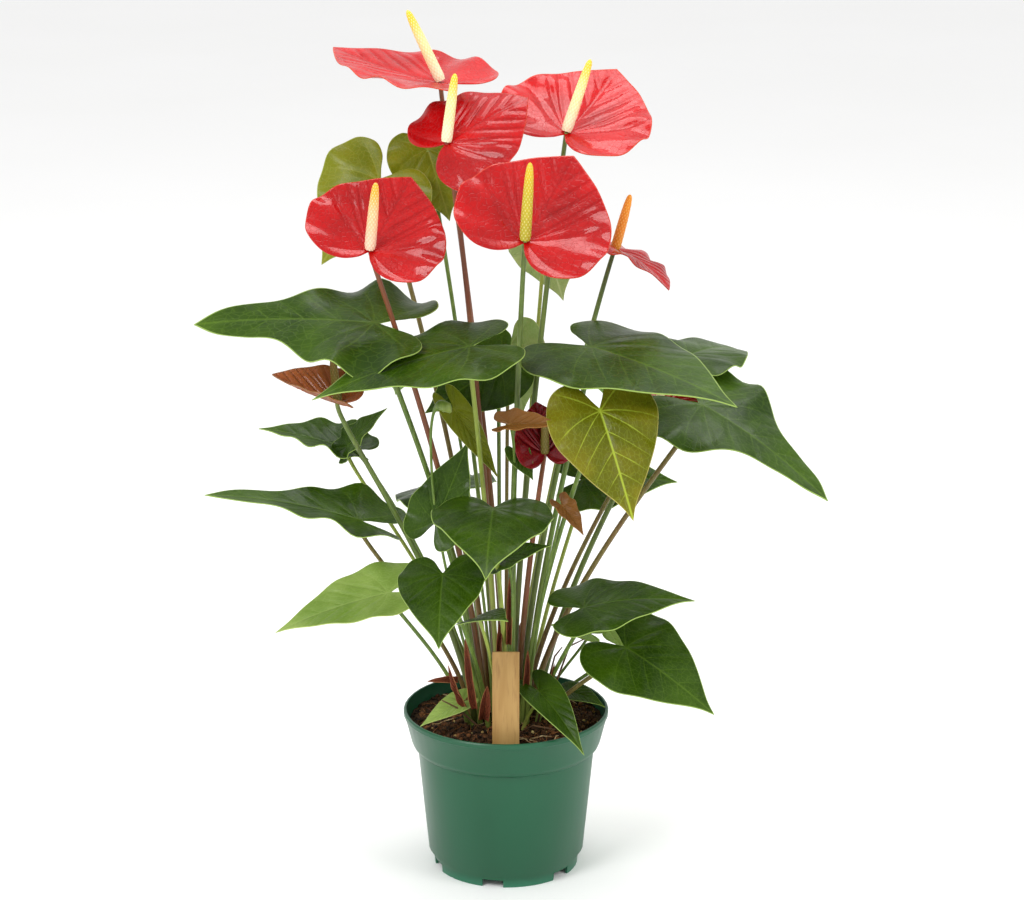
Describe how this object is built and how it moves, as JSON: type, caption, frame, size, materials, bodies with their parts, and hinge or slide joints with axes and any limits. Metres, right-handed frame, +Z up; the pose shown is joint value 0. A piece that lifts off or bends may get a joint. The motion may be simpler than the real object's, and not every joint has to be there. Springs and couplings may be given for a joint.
{
  "type": "potted anthurium",
  "caption": "Flowering anthurium with glossy heart-shaped leaves, red spathes and yellow spadices, growing in a teal-green nursery pot of soil with a plain wooden stake.",
  "frame": {"origin": "on the pot's axis, on the surface that the pot stands on", "axes": "+Z up along the pot's axis, +X to the right and -Y towards someone who looks at the stake in front"},
  "size_m": [0.506, 0.358, 0.7094],
  "materials": {
    "pot_plastic": "satin teal-green moulded plastic",
    "potting_soil": "dark brown moist peat with coir fibre",
    "stake_wood": "bare pale wood, fine straight grain",
    "leaf_green": "glossy dark green leaf, paler veins and margin",
    "leaf_olive": "semi-gloss olive green leaf with paler veins",
    "leaf_pale": "pale yellow-green leaf",
    "leaf_bronze": "glossy bronze-green young leaf with lime veins",
    "spathe_red": "high-gloss puckered red",
    "spathe_dark": "high-gloss dark red",
    "spathe_brown": "glossy orange-brown",
    "spadix": "cream to yellow, finely studded",
    "flower_stem": "smooth olive to red-brown"
  },
  "bodies": {
    "root": {"leaf_back": "leaf_green", "leaf_back_left": "leaf_green", "leaf_back_low_left": "leaf_green", "leaf_back_right": "leaf_pale", "leaf_back_upper": "leaf_olive", "leaf_back_upper_left": "leaf_olive", "leaf_behind_right": "leaf_green", "leaf_bronze": "leaf_bronze", "leaf_centre": "leaf_green", "leaf_dark_centre": "leaf_green", "leaf_far_right": "leaf_green", "leaf_large_right": "leaf_green", "leaf_left": "leaf_green", "leaf_low_left": "leaf_green", "leaf_low_right": "leaf_green", "leaf_lower_left": "leaf_green", "leaf_lower_right": "leaf_green", "leaf_mid_left": "leaf_green", "leaf_over_rim": "leaf_green", "leaf_pale_centre": "leaf_pale", "leaf_right_back": "leaf_green", "leaf_right_outer": "leaf_green", "leaf_small_left": "leaf_green", "leaf_small_right": "leaf_green", "leaf_soil_left": "leaf_green", "leaf_soil_right": "leaf_green", "leaf_under_centre": "leaf_green", "leaf_upper_left": "leaf_green", "leaf_upright": "leaf_green", "leaf_young_twisted": "leaf_olive", "plant_stake": "stake_wood", "pot": "pot_plastic", "potting_soil": "potting_soil", "spadix_1": "spadix", "spadix_2": "spadix", "spadix_3": "spadix", "spadix_4": "spadix", "spadix_5": "spadix", "spadix_6": "spadix", "spadix_7": "spadix", "spadix_8": "spadix", "spadix_9": "spadix", "spathe_1": "spathe_red", "spathe_2": "spathe_red", "spathe_3": "spathe_red", "spathe_4": "spathe_red", "spathe_5": "spathe_red", "spathe_6": "spathe_red", "spathe_7": "spathe_brown", "spathe_8": "spathe_dark", "spathe_9": "spathe_red", "stem_1": "flower_stem", "stem_2": "flower_stem", "stem_3": "flower_stem", "stem_4": "flower_stem", "stem_5": "flower_stem", "stem_6": "flower_stem", "stem_7": "flower_stem", "stem_8": "flower_stem", "stem_9": "flower_stem"}
  },
  "joints": []
}
